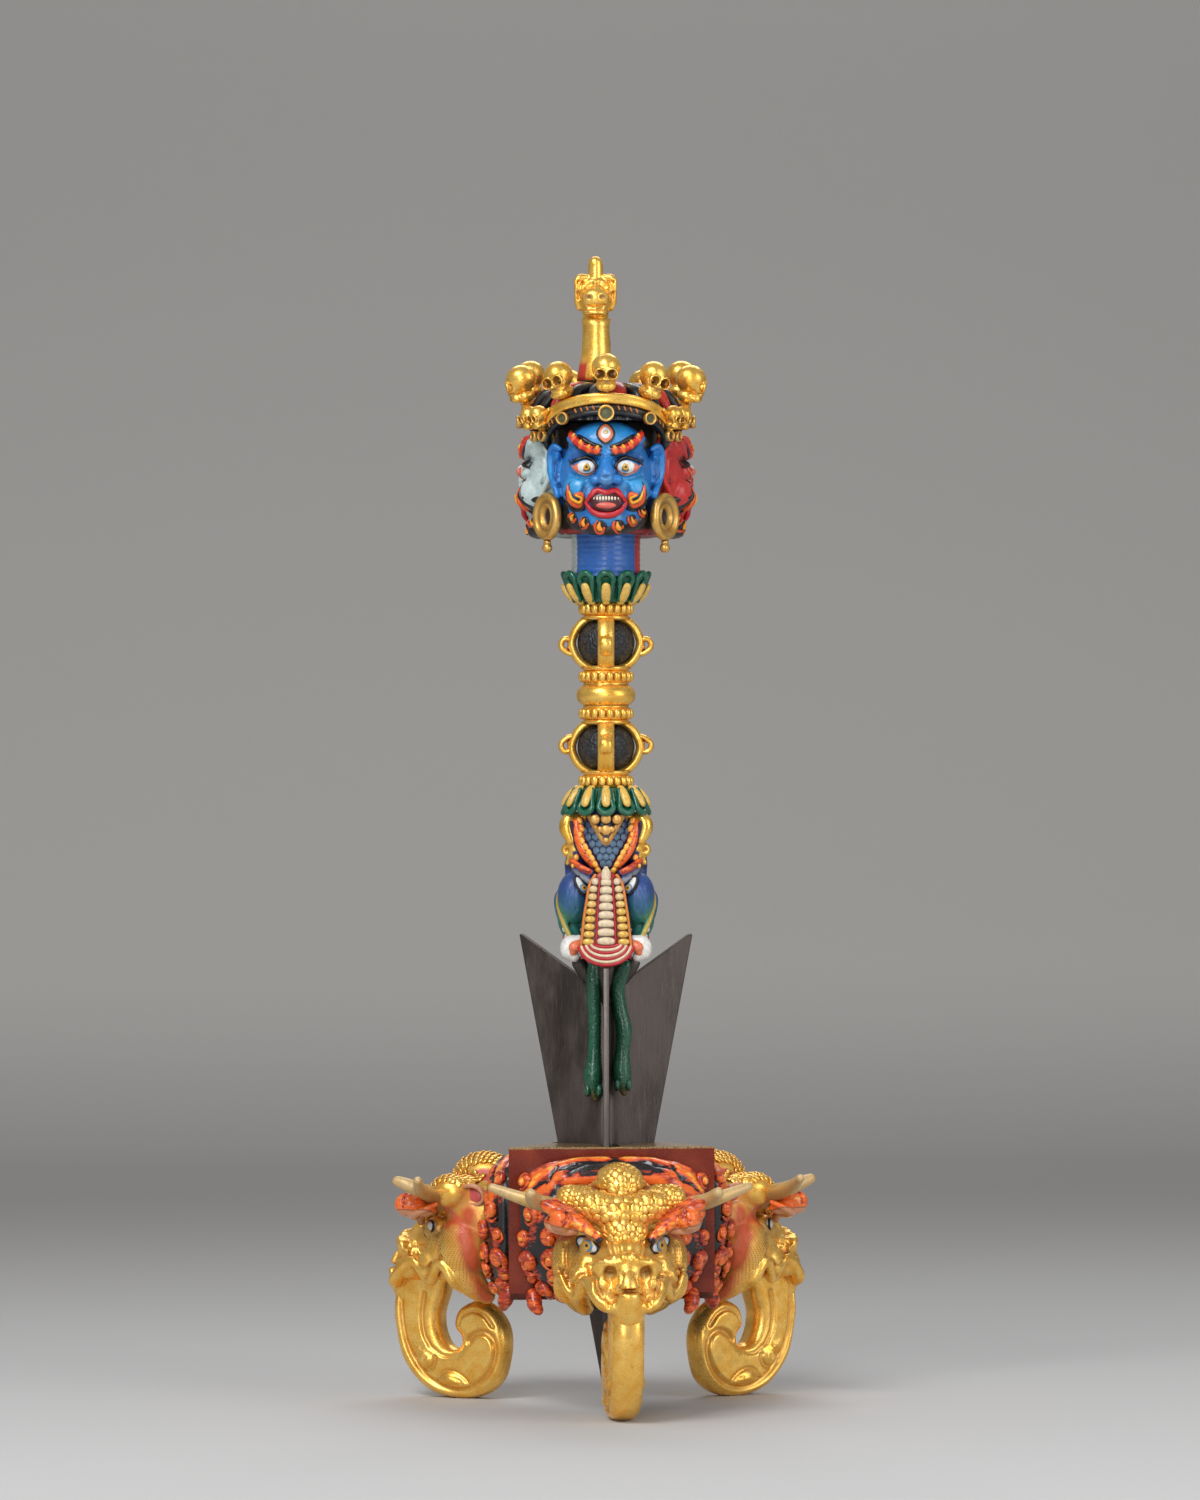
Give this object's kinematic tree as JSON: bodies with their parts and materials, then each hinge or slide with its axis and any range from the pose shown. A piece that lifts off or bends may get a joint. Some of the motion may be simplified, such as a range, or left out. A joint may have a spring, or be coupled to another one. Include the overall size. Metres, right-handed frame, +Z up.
{
  "type": "phurba",
  "caption": "Ritual dagger with a three-faced head, a pronged grip and a three-winged blade, which lifts out of a stand on curled makara trunks.",
  "frame": {"origin": "middle of the footprint, on the ground that the three feet stand on", "axes": "+Z up along the blade and the grip, -Y towards the front makara of the stand"},
  "size_m": [0.1102, 0.1093, 0.3006],
  "materials": {
    "gilt": "burnished gold leaf over copper, rubbed at the high spots",
    "worn_gilt": "gold leaf worn to the brown ground",
    "plate_brass": "aged brass sheet",
    "plate_brown": "dark brown ground",
    "lacquer": "red-brown lacquer, semi-gloss",
    "mane_paint": "black ground with red and orange brushwork",
    "horn_paint": "cream over gold",
    "ear_paint": "pink-red paint",
    "flame_paint": "orange and red paint",
    "blade_iron": "dark filed iron",
    "snake_green": "glossy green paint",
    "scale_blue": "blue and green paint, gold edges",
    "palate": "white plates between red gaps",
    "tusk_white": "white and orange paint",
    "jewel_bronze": "brown-gold beads",
    "lotus_green": "glossy dark green paint",
    "globe_black": "rough black paint",
    "face_blue": "satin blue paint",
    "face_red": "satin red paint",
    "face_white": "satin white paint",
    "neck_paint": "blue, white and red paint",
    "hair_black": "black paint with red tufts",
    "core_ground": "dark ground"
  },
  "bodies": {
    "stand": {"stand_top_plate": "plate_brass", "stand_bottom_plate": "plate_brown", "panel_front": "lacquer", "panel_right": "lacquer", "panel_left": "lacquer", "mane_front": "mane_paint", "mane_right": "mane_paint", "mane_left": "mane_paint", "makara_head_front": "gilt", "makara_head_right": "gilt", "makara_head_left": "gilt", "trunk_leg_front": "gilt", "trunk_leg_right": "gilt", "trunk_leg_left": "gilt", "horns_front": "horn_paint", "horns_right": "horn_paint", "horns_left": "horn_paint", "ears_front": "ear_paint", "ears_right": "ear_paint", "ears_left": "ear_paint", "brows_front": "flame_paint", "brows_right": "flame_paint", "brows_left": "flame_paint"},
    "dagger": {"blade": "blade_iron", "snake_left": "snake_green", "snake_right": "snake_green", "snake_rear": "snake_green", "dagger_makara_head": "scale_blue", "dagger_trunk": "palate", "dagger_tusks": "tusk_white", "jewel_pendant": "jewel_bronze", "lotus_lower": "lotus_green", "bead_ring_lower": "gilt", "globe_lower": "globe_black", "cage_lower": "gilt", "bead_ring_under_knob": "gilt", "knob": "gilt", "bead_ring_over_knob": "gilt", "globe_upper": "globe_black", "cage_upper": "gilt", "bead_ring_upper": "gilt", "lotus_upper": "lotus_green", "neck": "neck_paint", "head_core": "core_ground", "face_front": "face_blue", "face_right": "face_red", "face_left": "face_white", "earrings": "worn_gilt", "hair_dome": "hair_black", "hair_net": "hair_black", "crown_band": "gilt", "crown_skulls": "gilt", "corner_skulls": "gilt", "bezels": "jewel_bronze", "finial_neck": "gilt", "finial_mane": "hair_black", "finial_head": "gilt"}
  },
  "joints": [
    {"name": "dagger_lift", "type": "slide", "parent": "stand", "child": "dagger", "axis": [0, 0, 1], "range_m": [0, 0.07]}
  ]
}
